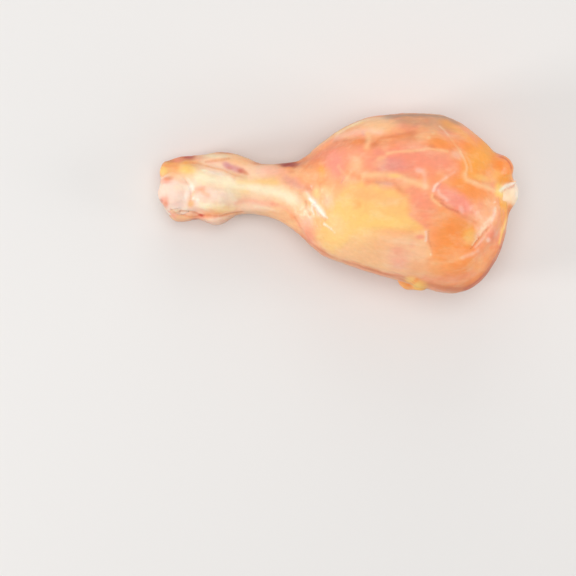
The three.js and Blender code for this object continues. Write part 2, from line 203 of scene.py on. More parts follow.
ANKLE = [
    spot("flesh round ankle", "cartilage", (-55, 2), (9, 8), 0.8),
    spot("yellow flesh at ankle's end", "fat", (-58, 11.4), (8, 2.8), 0.5),
    spot("peach flesh at ankle's end", "flesh", (-59.4, 11.2), (2.2, 2), 0.5),
    spot("flesh above ankle", "flesh", (-59, 9.7), (3.4, 1), 0.5),
    spot("fat at ankle's end", "fat", (-63.2, 11), (1.5, 1.7), 0.8, 0, 0.3),
    spot("smear at ankle's end", "orange", (-61.4, 13), (2.2, 0.7), 0.5),
    spot("flesh between fat", "orange", (-58.4, 12.8), (1.2, 1.4), 0.45),
    spot("skin at ankle's end", "amber", (-60.6, 14.3), (3.2, 0.8), 0.9, 0.05),
    spot("brown edge at ankle's end", "brown", (-60.4, 14.6), (2.8, 0.7), 0.9, 0.05),
    spot("fat behind ankle", "fat", (-54, 11.5), (3, 1.7), 1, -0.1, 0.4),
    line("yellow tail of fat", "fat", [(-52, 10.6), (-49, 9.9), (-46, 9.7)], 0.7, 0.5),
    spot("flesh under fat", "peach", (-55, 8.8), (5, 0.9), 0.5),
    spot("flesh over fat", "amber", (-55.2, 14), (2.4, 0.9), 0.6),
    line("amber crease beside skin", "amber", [(-55, 13.8), (-52.4, 14.1), (-50.4, 13.6), (-48, 12.8)], 0.9),
    line("dark middle of amber crease", "orange", [(-53.4, 14.1), (-50.6, 13.6), (-48.8, 13)], 0.6, 0.9),
    line("darkest part of amber crease", "red", [(-52.6, 13.9), (-50.6, 13.5), (-49.2, 13.1)], 0.4, 0.3),
    spot("flesh over amber crease", "flesh", (-50, 15.2), (3, 0.9), 0.6),
    spot("skin at far edge", "salmon", (-57.4, 15.2), (2, 1.2), 0.8, 0.3),
    spot("blood at far edge", "brown", (-54.6, 15.7), (3.4, 1.2), 0.85),
    spot("dark middle of blood", "red", (-54, 16), (2.2, 0.9), 0.95),
    spot("pale flesh above tendon", "peach", (-34, 11.4), (15, 4), 0.75, -0.12),
    spot("flesh above tendon's start", "cartilage", (-44, 13), (7, 4), 0.6, -0.1),
    spot("flesh towards knee", "cartilage", (-32, 10.6), (6, 2.4), 0.35, -0.1),
    spot("far fold", "peach", (-41, 16), (8, 2), 0.9, -0.1, 0.3),
    spot("cream middle of far fold", "cream", (-43.6, 16), (5, 0.8), 0.6, -0.05),
    spot("edge of far fold", "brown", (-41, 17.5), (3.4, 0.7), 0.8, -0.05),
    line("filled groove under far fold", "peach",
         [(-51, 13), (-46, 11.9), (-42, 10.8), (-38.6, 9)], 1.1, 0.3, 0.35),
    # Painted light: white lightens the flesh below the groove, whose slope turns from the light.
    line("painted light under groove", "white", [(-47, 10.6), (-44, 10), (-41, 9), (-38.6, 7.8)], 1.2, 0.5),
    line("crease under far fold", "flesh",
         [(-47.6, 12.6), (-46, 12.1), (-44, 11.6), (-42, 11.1), (-40.4, 10.4)], 0.5, 0.7),
    spot("flesh under bruise", "flesh", (-37.6, 9), (3.2, 1), 0.5, -0.1),
    line("short crease in far fold", "brown",
         [(-47.8, 14.2), (-44.8, 14.5), (-42, 14.8), (-39.8, 15.2)], 0.6, 0.5),
    line("broad tendon", "cream",
         [(-50, 8.6), (-45, 7.6), (-38, 6), (-30, 4.8), (-22, 3), (-16.5, 0.4),
          (-13.4, -3)], 2.7, 0.95, 0.25),
    line("streak on tendon", "fat", [(-38, 3.6), (-35.6, 3.6), (-33, 3.4)], 1, 0.4),
    line("flesh over tendon", "fat", [(-36, 7), (-32, 7), (-28, 7.2), (-23, 6.8)], 1.1, 0.4),
    # Painted highlight: a small glint behind the ankle.
    spot("painted glint behind ankle", "cream", (-48.5, 11.1), (1.3, 0.5), 0.9, -0.1, 0.15),
    spot("start of bruise", "mauve", (-40.6, 13.3), (1.5, 0.9), 0.7, -0.3),
    spot("dark start of bruise", "mauve", (-39.6, 12.2), (1.8, 0.9), 0.8, -0.2),
    spot("brown start of bruise", "brown", (-39.2, 12), (1.1, 0.5), 0.35, -0.2),
    spot("middle of bruise", "mauve", (-37.4, 11.8), (1.8, 1.1), 0.7, -0.5),
    spot("end of bruise", "mauve", (-35.4, 11.2), (1.8, 0.9), 0.7, -0.4),
    spot("brown end of bruise", "brown", (-35, 11), (1.6, 0.8), 0.5, -0.4),
    spot("tail of bruise", "brown", (-33.6, 10.2), (1.3, 0.7), 0.45, -0.4),
    spot("dark spot in bruise", "red", (-35.6, 10.8), (0.9, 0.6), 0.35, -0.3),
    spot("pale flesh behind pad", "cream", (-40.6, 2), (6, 2.8), 0.6),
    # Painted light: white lightens the shaded hollow behind the pad, which is also raised.
    spot("painted light behind pad", "white", (-40.6, 1.4), (4.2, 3), 0.3, 0, 0.6),
    spot("pad behind ankle", "cartilage", (-46, 2), (5, 3), 0.8, 0, 0.3),
    spot("cream foot of pad", "cream", (-46.4, -1.4), (4.6, 1.2), 0.8, 0, 0.2),
    # Painted highlights: a glint at the pad's start, and sheen along its cream rim.
    spot("painted glint at start of pad", "white", (-50.7, 0.6), (0.8, 0.7), 0.6, 0, 0.2),
    line("cream rim and painted sheen round pad", "cream", [(-50.6, 0), (-49.6, -1), (-47.6, -1.6)], 0.8, 0.7, 0.15),
    line("salmon crease over pad", "salmon", [(-52, 3.8), (-50.4, 4.4), (-48.6, 4.5)], 1.1, 0.45, -0.2),
    line("orange crease over pad", "flesh", [(-49.4, 4.2), (-48.4, 3.2), (-47.2, 2.3)], 1, 0.5, -0.15),
    spot("yellow flesh before near fold", "fat", (-42, -2.6), (4.6, 1.3), 0.5),
    spot("bright flesh before near fold", "cream", (-41.6, -2.2), (5, 1.6), 0.35, 0, 0.4),
    spot("near fold", "cartilage", (-43, -6.8), (5, 1.8), 0.9, 0, 0.3),
    spot("orange tint of near fold", "flesh", (-41, -7), (4.4, 1.2), 0.45),
    spot("orange part of near fold", "flesh", (-57, -5.6), (3, 1), 0.5),
    spot("peach part of near fold", "peach", (-56, -5.8), (4.4, 0.9), 0.6),
    spot("salmon flesh between near creases", "salmon", (-51, -5.5), (3.4, 0.6), 0.6),
    line("pink flap at ankle's end", "pink", [(-61.2, -3.2), (-60, -4.2), (-59.2, -5.4)], 1, 0.5, 0.3),
    # Painted shade: brown in the creases of the near edge, which are also sunk.
    line("upper crease of near edge", "brown",
         [(-57, -3.6), (-53, -3.5), (-50.4, -4.6), (-47, -5.1), (-43, -5.2), (-38.6, -4.3),
          (-35, -3.8)], 0.6, 0.7, -0.35),
    line("lower crease of near edge", "brown",
         [(-60.4, -2.8), (-57.6, -4.5), (-53, -5.3), (-50, -5.3)], 0.45, 0.6, -0.3),
    spot("blood in near crease", "red", (-49.6, -4.9), (1.1, 0.5), 0.85, -0.1),
    spot("blood under near fold", "red", (-51.6, -6.4), (1.7, 0.5), 0.8),
]

# The first two lie between the creases of the ankle's near edge, on the flesh alone.
SHANK = [
    spot("flesh at start of lower crease", "peach", (-58.6, -3.2), (1.7, 0.9), 0.5, 0.1, 0.4),
    spot("flesh between near creases", "flesh", (-53.4, -5), (1.4, 1.2), 0.8, 0, 0.4),
    line("streak beside tendon", "salmon",
         [(-37, -0.4), (-34, 0.2), (-31, 0.3), (-28.6, -0.3), (-24, -0.8)], 1, 0.35),
    spot("brown edge of shank", "brown", (-29, 13.7), (2.4, 0.6), 0.8, -0.1),
    line("upper cream streak", "cream", [(-26, 4), (-24, 3.4), (-22, 2)], 0.7, 0.4),
    spot("flesh beside tendon", "fat", (-25, 7), (4, 1.4), 0.25, -0.05),
    line("second cream streak", "cream", [(-30, -1.8), (-26, -2.4), (-22, -3.4)], 0.8, 0.4),
    spot("hollow at tendon's end", "peach", (-10.6, -2.8), (6, 6.5), 0.3, -0.4, -1.5),
    line("fold below tendon", "salmon",
         [(-24, -0.9), (-21, -1.8), (-18.6, -3.3), (-16, -6.4), (-13.6, -9.8)], 0.8, 0.35, -0.1),
    line("brown end of fold", "brown", [(-16.4, -5.8), (-15, -8), (-13.8, -9.6)], 0.4, 0.45),
    line("strip at near edge", "peach", [(-30, -3.6), (-22, -5), (-17, -8.6)], 1.3, 0.6),
    spot("flesh under fold", "peach", (-20.6, -4.2), (3.6, 1.3), 0.65, -0.5),
    spot("flesh over tendon's end", "brown", (-18, 8), (2, 1.6), 0.25),
    spot("flesh below tendon", "cartilage", (-12.5, -6), (2.6, 4.4), 0.5, 0.35),
    spot("flesh near edge of shank", "pink", (-11.6, -9), (2.4, 3.4), 0.35, 0.5),
    spot("flesh at near edge", "salmon", (-11, -12.4), (1.8, 3.2), 0.6, 0.5),
    line("line at tendon's end", "brown", [(-12.8, 0), (-12.5, -2.8), (-11.4, -4.8)], 0.6, 0.6, -0.15),
    spot("pink flesh above tendon", "pink", (-24, 11), (4.6, 1.8), 0.4, -0.05),
    spot("light flesh above tendon", "cartilage", (-26, 11.2), (5, 2.4), 0.3),
    spot("flesh under nick", "orange", (-18.4, 12), (2, 0.6), 0.3),
    spot("orange flesh above tendon", "brown", (-17.4, 10.8), (1.4, 0.6), 0.4),
    spot("flesh beside nick", "brown", (-13.4, 14), (2.4, 1.6), 0.6, 0.6),
    line("shaded fold above tendon", "mauve",
         [(-19.4, 8.6), (-16.6, 6.8), (-13.6, 5.2), (-10.4, 4.6)], 1.7, 0.4, -0.1),
    spot("brown end of shaded fold", "brown", (-11, 5.6), (1.8, 1.8), 0.5),
    spot("pink flesh at calf's start", "pink", (-1.4, 13.4), (3, 6), 0.6, 0.2),
    spot("orange start of calf", "orange", (-7, 10), (2.2, 4.4), 0.6, 0.1),
    spot("spot in orange start", "amber", (-6.6, 10.8), (1.2, 2), 0.6),
    spot("yellow flesh at calf's start", "fat", (-8.8, 3), (1.6, 1.8), 0.6),
    line("thin line at calf's start", "brown", [(-7, 6.4), (-7.3, 3.6)], 0.4, 0.4),
    spot("nick with blood", "red", (-18.2, 13.5), (3.8, 1.3), 1, 0, -0.3),
    spot("clot in nick", "clot", (-18.8, 13.9), (3.2, 1.1), 0.45),
    spot("flesh over glint", "cream", (-12.2, 2.6), (1.6, 1.4), 0.45, -0.5),
    spot("dull flesh beside glint", "fat", (-5.4, 3.2), (2.8, 2.2), 0.25, -0.5),
    spot("peach flesh beside glint", "cream", (-5.4, 3.2), (2.8, 2.2), 0.25, -0.5),
    spot("pink flesh beside glint", "cartilage", (-4.4, -0.4), (2.4, 2.6), 0.45),
    spot("flesh above glint", "flesh", (-10.4, 8.2), (3.6, 2.6), 0.7, 0.2),
    spot("flesh below tendon's end", "peach", (-14, -3.4), (1.8, 2.8), 0.6, 0.3),
]

CALF = [
    line("pink rim of calf's start", "salmon", [(-9, 18.2), (-4.6, 21.2), (-0.6, 22.6)], 0.9, 0.45),
    spot("flesh in pale edge", "salmon", (5, 24.4), (4, 1.3), 0.4, 0.1),
    spot("greyish spots in pale edge", "mauve", (8.6, 24.6), (1, 1.2), 0.35),
    spot("flesh under film", "salmon", (22.6, 26.8), (2.4, 1.4), 0.45),
    line("salmon start of far muscle", "salmon", [(-9, 15.4), (-5, 18), (-1, 20.4)], 2, 0.6),
    line("shade below far muscle's edge", "brown", [(-3, 19.6), (2, 20.4), (7, 20.4)], 2, 0.5),
    line("shade below far muscle's second edge", "brown", [(12, 19.4), (18, 21.4), (25, 23)], 1.8, 0.3),
    line("reddish edge of far muscle", "brown", [(-1.4, 21.6), (2, 21.9), (6, 21.8), (9, 21.7)], 1.2, 0.85),
    spot("red end of far muscle's edge", "orange", (6.6, 21.4), (3, 1.2), 0.4),
    line("brown edge of far muscle", "brown", [(12, 20.6), (15, 22.1), (20, 23.4), (26.4, 24.7)], 1.4, 0.7),
    line("orange under brown edge", "orange", [(14, 21.4), (19, 22.5), (25, 23.6)], 1.2, 0.35),
    spot("orange flesh before specks", "orange", (34.5, 22.4), (4, 2), 0.4, -0.2),
    spot("brown flesh at calf's start", "brown", (-10.6, 14.8), (4.8, 3), 0.5, 0.6),
    spot("flesh along calf's start", "brown", (-4.4, 18.6), (3, 1.6), 0.3, 0.7),
    line("flesh over far muscle", "cartilage", [(-1, 22.8), (3, 24.2), (9, 25.4), (14, 24.6)], 1.8, 0.35),
    spot("brown flesh before specks", "brown", (26, 22), (2.4, 1.4), 0.35),
    line("pale band between muscles' edges", "peach", [(9.8, 24.4), (10.4, 22), (9.6, 19.6)], 1, 0.7),
    spot("spot in far muscle", "brown", (12.6, 20.3), (1.3, 0.8), 0.5, 0.3),
    spot("spot in upper calf", "salmon", (13.4, 17.8), (2, 1.4), 0.6),
    spot("first pale speck", "peach", (33.4, 24.4), (0.7, 0.6), 0.7, 0.3, 0.1),
    spot("second pale speck", "peach", (31.8, 22.8), (0.9, 0.7), 0.7, 0, 0.1),
    line("film line over calf", "peach",
         [(17, 17.2), (20, 17.8), (24, 18), (28, 18.3), (31.6, 18.9), (34.6, 18.6),
          (38.4, 17.9)], 0.65, 0.75, 0.1),
    spot("flesh under film line", "peach", (15, 15.6), (2, 0.9), 0.6, 0.3),
    spot("spot over film line", "brown", (33, 19.8), (1.4, 0.7), 0.5),
    spot("flesh of upper calf", "peach", (6, 13.6), (2.4, 3), 0.7),
    line("first pale streak", "peach", [(-0.4, 12.6), (1, 10.6), (2.8, 8.6)], 0.7, 0.35),
    line("second pale streak", "peach", [(1.4, 7), (2.8, 8.8), (4, 10.6)], 0.5, 0.6),
    line("shade between pale streaks", "mauve", [(0.6, 6.8), (1.6, 8.8)], 0.4, 0.4),
    line("flesh below pale band", "brown", [(9.6, 7.4), (14, 7.2), (18.6, 6.4), (21.4, 4.8)], 1.2, 0.35),
    spot("first mauve spot below pale band", "mauve", (14.2, 6.8), (1.6, 0.7), 0.25),
    spot("second mauve spot below pale band", "mauve", (17.4, 6.4), (2, 0.8), 0.3, -0.15),
    line("shade round fat", "brown", [(20.6, 4.6), (22.8, 3), (24.4, 1.2)], 0.8, 0.4),
    line("pale band on calf", "peach",
         [(9, 9.3), (14, 9.6), (20, 9.2), (25, 7.4), (30.6, 5.4)], 1.3, 0.9, 0.15),
    spot("yellow middle of pale band", "fat", (19.6, 9.2), (2.4, 0.8), 0.5),
    spot("spot over pale band", "peach", (14, 13.6), (2.6, 1.4), 0.4, 0.2),
    # Pale flesh with painted sheen in the middle of the calf.
    spot("pale spot with painted sheen on calf", "cartilage", (28.4, 11.2), (1.5, 1), 0.4, -0.2),
    line("pink band across calf", "cartilage", [(30, 11), (30.4, 8.4), (30.6, 5.4)], 0.9, 0.25),
    patch("pale flesh beside fat", "peach",
          [(-6, -14), (4, -12), (14, -11), (24, -11.5), (31.2, -9.6), (31.6, -14), (32.8, -18.4), (31, -22),
           (30, -26), (18, -25.5), (6, -21.5), (-3, -19.5)], 1, 0.8, 0.25),
    spot("flesh round fat", "fat", (4, -6), (15, 9), 0.5, -0.2),
    patch("fat over calf", "fat",
          [(-4.4, -6), (-2, -1), (1.6, 4), (4.4, 6.4), (8, 6.8), (10, 5.6), (15, 5), (18.4, 4.6), (22, 2.8),
           (24.2, 1), (24.8, -4), (28.4, -7.6), (30.2, -9.8), (24, -10.6), (12, -9.6), (5, -12), (0, -16.6),
           (-4, -17), (-8, -12)], 1.8, 0.62, 0.2),
    spot("bright middle of fat", "fat", (13, -6.4), (13, 2.4), 0.7, -0.12),
    spot("flesh in upper fat", "flesh", (10, 2.4), (7, 2.6), 0.35, -0.2),
    spot("spot in fat", "orange", (6.6, -1), (1.8, 1.4), 0.35),
    spot("pale start of fat", "cartilage", (-1, -8), (3, 4.4), 0.16, 0.2),
    spot("flesh in fat", "peach", (18.4, 0), (2.4, 1.6), 0.5),
    line("flesh at fat's corner", "salmon", [(25.6, -4.8), (28.4, -6.8), (31, -9)], 0.9, 0.5),
    spot("first pink spot in pale flesh", "salmon", (20.6, -17.4), (2.4, 1.2), 0.5, -0.1),
    spot("second pink spot in pale flesh", "salmon", (26, -15.2), (1.4, 1.2), 0.4),
    spot("flesh near edge", "salmon", (21.4, -22), (2.8, 2.6), 0.35),
    spot("spot beside fat", "salmon", (28.8, -12.6), (1.7, 0.9), 0.75),
    line("edge of pale flesh", "cartilage", [(30.7, -10.8), (31, -12.2), (30.8, -13.8)], 0.45, 0.75, 0.2),
    line("shade beside pale flesh", "brown", [(31.9, -10.8), (31.7, -13), (32.6, -16)], 0.4, 0.5, -0.15),
    # Painted highlight: a tiny glint beside the pale flesh.
    spot("painted glint beside pale flesh", "cream", (32.6, -18.8), (0.35, 0.45), 0.5),
    line("pale band along near side", "peach", [(33, -22), (37, -21.9), (40, -21.2), (44, -20)], 0.9, 0.4),
    spot("pink tint of pale flesh", "cartilage", (23, -19), (7, 6), 0.25),
    spot("pink middle of pale flesh", "pink", (21, -20.4), (3.4, 4), 0.35),
    spot("flesh over tag", "flesh", (27.8, -23.4), (4.6, 3.2), 0.55),
    spot("flesh tint of pale flesh", "flesh", (19, -15.6), (9, 4.6), 0.35, -0.05),
    # Painted shadow: a brown line along the near outline below the pale flesh.
    line("painted shadow at lower edge of pale flesh", "brown", [(8, -23.4), (15, -25.4), (21, -26.6), (24, -27.2)], 0.9, 0.7),
    spot("amber side of tag of fat", "amber", (24, -30.2), (2.6, 1.8), 0.6),
    spot("small lobe of tag of fat", "fat", (25.6, -27.8), (2.2, 1.4), 0.8, -0.2, 0.3),
    spot("tag of fat", "fat", (28.4, -30), (2.6, 2.2), 1, -0.2, 0.6),
    spot("amber part of tag of fat", "amber", (28.4, -30), (2.6, 2.2), 0.35, -0.2),
    spot("orange tint of tag of fat", "orange", (28.4, -30), (2.8, 2.4), 0.2, -0.2),
    spot("bright middle of tag of fat", "fat", (28, -29.6), (1.8, 1.2), 0.7, -0.4, 0.3),
    line("orange side of small lobe", "orange", [(27.6, -27.6), (26.6, -28.4), (24.6, -29.6)], 0.8, 0.9),
]

KNEE = [
    line("bright start of film line", "cream", [(35.8, 26.8), (37.2, 25.6), (38.6, 24)], 0.5, 0.4, 0.05),
    line("film line before knee", "peach", [(38.6, 24), (41, 20.8), (43.2, 17.8)], 0.5, 0.35),
    line("end of film line", "peach", [(43, 17.8), (44.6, 14.6), (45.4, 12), (44.8, 10)], 0.6, 0.8, 0.15),
    line("second film line before knee", "peach", [(45.2, 16), (46.6, 13.6), (47, 11)], 0.6, 0.45, 0.1),
    spot("flesh before film line", "cartilage", (42, 16.6), (2.4, 1.4), 0.35, -0.5),
    line("pale band towards joint", "peach",
         [(44.7, 9.4), (45.4, 7.8), (48, 6.7), (51.4, 5.4), (55, 4.2)], 1.1, 0.85, 0.25),
    spot("flesh over pale band", "fat", (51, 8.4), (3.4, 1.2), 0.5, -0.3),
    spot("narrow muscle", "pink", (41.6, 0.2), (8.4, 3.4), 0.9, -0.62, 0.3),
    spot("deep pink of narrow muscle", "salmon", (42.4, -0.6), (5, 1.6), 0.5, -0.62),
    line("upper arm of film fork", "cartilage", [(33.6, 4), (34.4, 5.8), (36.4, 7.4), (38, 8.6)], 0.6, 0.4),
    line("end of upper arm", "cartilage", [(38, 8.6), (41, 10.5)], 0.6, 0.2),
    line("bright start of film fork", "white", [(33.5, 3.8), (33.9, 5.2), (34.9, 6.3)], 0.55, 0.35),
    line("lilac shade in film fork", "mauve", [(34.7, 4.2), (35.2, 5.4), (36, 6.2)], 0.4, 0.55),
    line("lower arm of film fork", "peach",
         [(33.1, 2.4), (33.1, 1.1), (34.2, -0.1), (36, -1.4)], 0.5, 0.85, 0.12),
    line("flesh inside film fork", "red", [(34, 1.8), (35.4, 0.9), (37, 0.2)], 0.6, 0.3),
    line("pale tip of narrow muscle", "cartilage",
         [(35.3, 3.8), (35.8, 2.6), (37.4, 1.6), (38.2, 0.6)], 0.75, 0.4, 0.1),
    spot("pale middle of narrow muscle", "cartilage", (43.4, -2.8), (0.9, 1.6), 0.35, 0.3),
    line("seam under narrow muscle", "red",
         [(36.4, -0.6), (38.4, -2), (40.4, -3), (42, -3.6)], 0.5, 0.45, -0.15),
    line("end of seam", "brown", [(42.4, -3.8), (45, -5.8), (48.4, -7.6)], 0.6, 0.4, -0.1),
    spot("amber flesh before fold", "amber", (46.6, -11.6), (3, 3.2), 0.6, 0.6),
    spot("yellow flesh before fold", "fat", (46.4, -12.4), (2, 2.6), 0.5, -0.3),
    spot("flesh above fold", "flesh", (53, -4.2), (2.2, 3), 0.4, 0.3),
    # Painted highlights and shade on the wrinkled film before the knee: white and cream paint its wet sheen,
    # over the film's pale colour, and brown and red paint the shade in the furrows between the wrinkles.
    line("pale film round wrinkles", "cartilage",
         [(55.4, -3.4), (53.8, -6.6), (51.4, -9), (49, -12)], 1.5, 0.25),
    line("bright wrinkle", "white", [(55.7, -2.4), (55.3, -4.4), (54.4, -6.4)], 0.6, 0.3, 0.15),
    line("side of bright wrinkle", "cream", [(53.8, -5.8), (52.8, -7), (51.6, -8)], 0.5, 0.35, 0.1),
    spot("painted highlight above wrinkle", "white", (55.5, -0.2), (0.6, 0.4), 0.3, 0.5),
    line("pale wrinkle", "cream", [(52.4, -8.6), (51, -10.2), (50, -11.8)], 0.5, 0.4, 0.12),
    line("thin pale wrinkle", "cream", [(50.6, -9.6), (49.2, -11.4), (48.4, -13)], 0.4, 0.3, 0.1),
    line("bright end of pale wrinkle", "cream", [(49, -13.4), (48.2, -14.4), (47.4, -15.4)], 0.4, 0.5, 0.12),
    line("start of furrow in fold", "brown", [(54, -8.6), (53, -9.4), (52.3, -10.6)], 0.3, 0.8, -0.3),
    line("middle of furrow", "brown",
         [(52.2, -10.4), (51.2, -11.4), (50.7, -12.6), (49.8, -13.2)], 0.3, 0.55, -0.2),
    line("end of furrow", "red",
         [(49.6, -13.3), (48.6, -14.4), (48.2, -15.3), (46.9, -16.8)], 0.26, 0.6, -0.3),
    line("second wrinkle", "cartilage", [(51.6, -12.8), (50, -14.6), (48.6, -16.2)], 0.6, 0.4, 0.12),
    line("second furrow", "brown", [(50.2, -15.4), (49, -16.4), (47.8, -17.4)], 0.3, 0.4, -0.12),
    line("third wrinkle", "cartilage", [(49.4, -17.6), (46.8, -18.8), (43.8, -20)], 0.7, 0.3, 0.06),
    spot("salmon flesh beside fold", "salmon", (55, -13), (2.6, 4), 0.8, 0.1),
    spot("orange flesh beside fold", "orange", (54.4, -15), (2.4, 3), 0.4, 0.1),
    spot("red spot beside fold", "red", (54.7, -12.5), (1.1, 1.5), 0.14, 0.1),
    spot("pale spot beside fold", "cartilage", (53.1, -13.7), (0.8, 0.9), 0.6),
    line("strip inside knee's edge", "salmon", [(57, -3.6), (56.9, -7), (56, -9.4)], 0.7, 0.4),
    line("crease inside knee's edge", "amber", [(57.3, 1), (57.9, -2.4), (58, -6.4)], 0.5, 0.7, -0.35),
    line("fat along knee's edge", "fat",
         [(59.2, -1), (59.4, -5), (58.8, -8.4), (57.8, -11), (57, -14.4)], 0.9, 0.85, 0.3),
    spot("flesh beside joint", "brown", (61, -4.4), (1.2, 1.6), 0.6, -0.2),
    spot("fat at joint", "fat", (56.8, 3), (1.6, 1.6), 0.85, 0, 0.15),
    spot("lump beside joint", "orange", (58.5, 12), (4.4, 5), 0.95),
    spot("fat behind lump", "fat", (56.4, 9), (2.2, 2.4), 0.55),
    line("blood round lump", "red", [(57.6, 16), (59.4, 15.2), (60.8, 13.8), (61.4, 12.2)], 0.8, 0.6),
    line("pale edge of lump", "peach", [(62.4, 13.2), (62.8, 10.6), (62.4, 8.4)], 0.6, 0.6),
    spot("skin on lump", "salmon", (57.6, 16.6), (1.4, 0.7), 0.6, 0.2),
]

UNDERSIDE = [
    spot("pale shank", "peach", (-34, 4), (26, 12), 0.8),
    spot("pink far muscle", "salmon", (26, 22), (20, 7), 0.8, -0.1),
    spot("orange near muscle", "orange", (32, -22), (18, 8), 0.8, 0.1),
    patch("fat", "fat",
          [(-4, 2), (4, 8), (14, 11), (26, 10), (33, 4), (30, -3), (20, -6), (8, -8), (0, -5)], 1.2, 0.8),
    line("far seam", "peach", [(-8, 12), (4, 18), (18, 24), (34, 25), (47, 18)], 0.8, 0.7, -0.2),
    line("near seam", "peach", [(-6, -8), (8, -17), (24, -22), (40, -23), (52, -14)], 0.8, 0.7, -0.2),
    line("far tendon", "cream", [(-46, 10), (-40, 12), (-26, 10), (-14, 9), (-4, 10)], 1.8, 0.9, 0.2),
    line("near tendon", "cream", [(-46, -1), (-40, -2), (-28, 0), (-16, -1), (-6, -4)], 1.6, 0.9, 0.2),
    spot("fat behind ankle", "fat", (-55, 6), (5, 3), 0.8, 0.1),
    spot("blood", "red", (-57, -3), (2.2, 0.8), 0.5, 0.2),
    line("fat round knee", "fat", [(56, 12), (59, 4), (58.5, -5), (55, -12)], 1.8, 0.7),
]

# Painted highlights: wet glints at the start of the calf, where the tendon spreads out into film, painted in
# white and cream, with painted shade and brown ripples between them.
PAINTED_GLINTS = [
    line("film round main glint", "cream", [(-10.2, 0.2), (-8.4, -1.8), (-6.4, -4.8)], 1.3, 0.45, 0.1),
    line("start of main glint", "white", [(-11.1, 1.1), (-10.5, 0.5), (-9.8, -0.2)], 0.7, 0.9, 0.2),
    line("main glint", "white", [(-9.5, -0.7), (-8.5, -1.9), (-7.5, -3.2), (-6.2, -4.8)], 0.85, 0.85, 0.25),
    line("end of main glint", "white", [(-5.6, -5.2), (-5, -5.6), (-4.6, -5.8)], 0.4, 0.5, 0.1),
    line("side glint", "white", [(-10.6, -1), (-10.5, -2.8), (-10.1, -4.6)], 0.5, 0.6, 0.1),
    line("shade between glints", "mauve", [(-9.8, -1), (-9.4, -2.2), (-8.6, -3.8), (-7.6, -5)], 0.4, 0.5),
    line("first ripple", "brown", [(-9.4, -5), (-7.4, -5.8), (-5.4, -6.8)], 0.3, 0.45, -0.15),
    line("second ripple", "brown", [(-7.4, -5), (-6, -5.8), (-4.8, -6.2)], 0.25, 0.35, -0.1),
    line("low glint", "white", [(-5.6, -8), (-4.4, -8.8), (-2.9, -9.7)], 0.55, 0.65, 0.2),
    line("end of low glint", "cream", [(-2.9, -9.7), (-1.7, -10.9)], 0.4, 0.5, 0.1),
]

# Strokes over both the flesh and the joints, where they meet.
BORDERS = [
    spot("pale pink ankle", "cartilage", (-58, 2.5), (6.2, 5.2), 0.8),
    spot("cream top of ankle", "cream", (-56.6, 5), (3.4, 1.4), 0.35),
    spot("lilac tint of ankle", "mauve", (-57.6, -0.8), (2.6, 1.4), 0.16),
    line("fold above ankle", "flesh", [(-58.4, 8), (-56.4, 7.1), (-54, 6.7)], 0.8, 0.4),
    # Painted highlights: white glints on the ankle joint's rounded end.
    spot("painted highlight on ankle", "white", (-53.3, 5), (1.2, 0.9), 0.2),
    spot("painted highlight on side of ankle", "white", (-55, 2.2), (0.7, 1.3), 0.45, -0.3),
    line("crease behind ankle", "flesh", [(-52.2, 3.6), (-53, 2), (-53.3, 0.4)], 0.9, 0.55),
    spot("orange spot behind ankle", "amber", (-53.3, -0.8), (1.2, 1.3), 0.6),
    spot("salmon side of ankle", "salmon", (-62.5, 0.3), (1.4, 2.4), 0.65, 0.2),
    spot("brown side of ankle", "brown", (-62.3, -1), (0.9, 1.2), 0.5, 0.2),
    spot("blood at rim of ankle", "red", (-63.8, 0.2), (0.6, 0.9), 0.5, 0.3),
    spot("salmon smear beside ankle", "salmon", (-62.4, 7.3), (2.2, 1), 0.55),
    spot("orange smear beside ankle", "brown", (-61.4, 8.3), (1.8, 0.8), 0.75, 0.1),
    spot("flesh over ligament", "orange", (59.8, 8.2), (3.4, 2.2), 1, 0.4),
    spot("amber flesh over ligament", "amber", (59, 7.8), (3, 2), 0.6, 0.4),
    spot("fat before ligament", "fat", (57.2, 4.4), (1.4, 2.2), 0.9, 0.3),
    line("crease under ligament", "brown", [(58, 3.4), (59.8, 4.7), (62.2, 5.4)], 0.4, 0.7),
    line("ligament", "white", [(57.5, 4.1), (59.4, 5.5), (61.4, 6.3), (63.8, 7.2)], 0.75, 0.8),
    line("fat before cap of knee", "fat", [(57.8, 2.4), (58.2, -0.4), (58.8, -3)], 0.8, 0.6),
    spot("flesh at foot of cap", "amber", (58.8, -1.3), (1.6, 1.2), 0.9, -0.8),
    spot("deep orange under cap of knee", "orange", (60.4, -3.4), (1.6, 2.4), 1, -0.3),
    spot("brown under cap of knee", "brown", (61, -3.2), (1, 1.6), 0.7, -0.3),
]

STROKES = [*FIELDS, *ANKLE, *SHANK, *CALF, *KNEE, *PAINTED_GLINTS, *underneath(UNDERSIDE), *BORDERS]

BONE_STROKES = [
    *FIELDS,
    *ANKLE,
    spot("cream cap of knee", "cream", (61, 1), (5, 8), 0.5),
    spot("peach tint of cap", "peach", (60.6, 1), (3, 5), 0.35),
    spot("peach foot of cap", "peach", (60, -2), (3, 2), 0.7, -0.6),
    spot("bright edge of knee", "white", (63.6, 2.6), (0.9, 1.6), 0.4),
    *BORDERS,
]


def linear(colour):
    """A colour as it looks, as the linear red, green, blue and alpha that shaders take."""
    shares = [c / 255 for c in colour]
    return (*[s / 12.92 if s <= 0.04045 else ((s + 0.055) / 1.055) ** 2.4 for s in shares], 1.0)


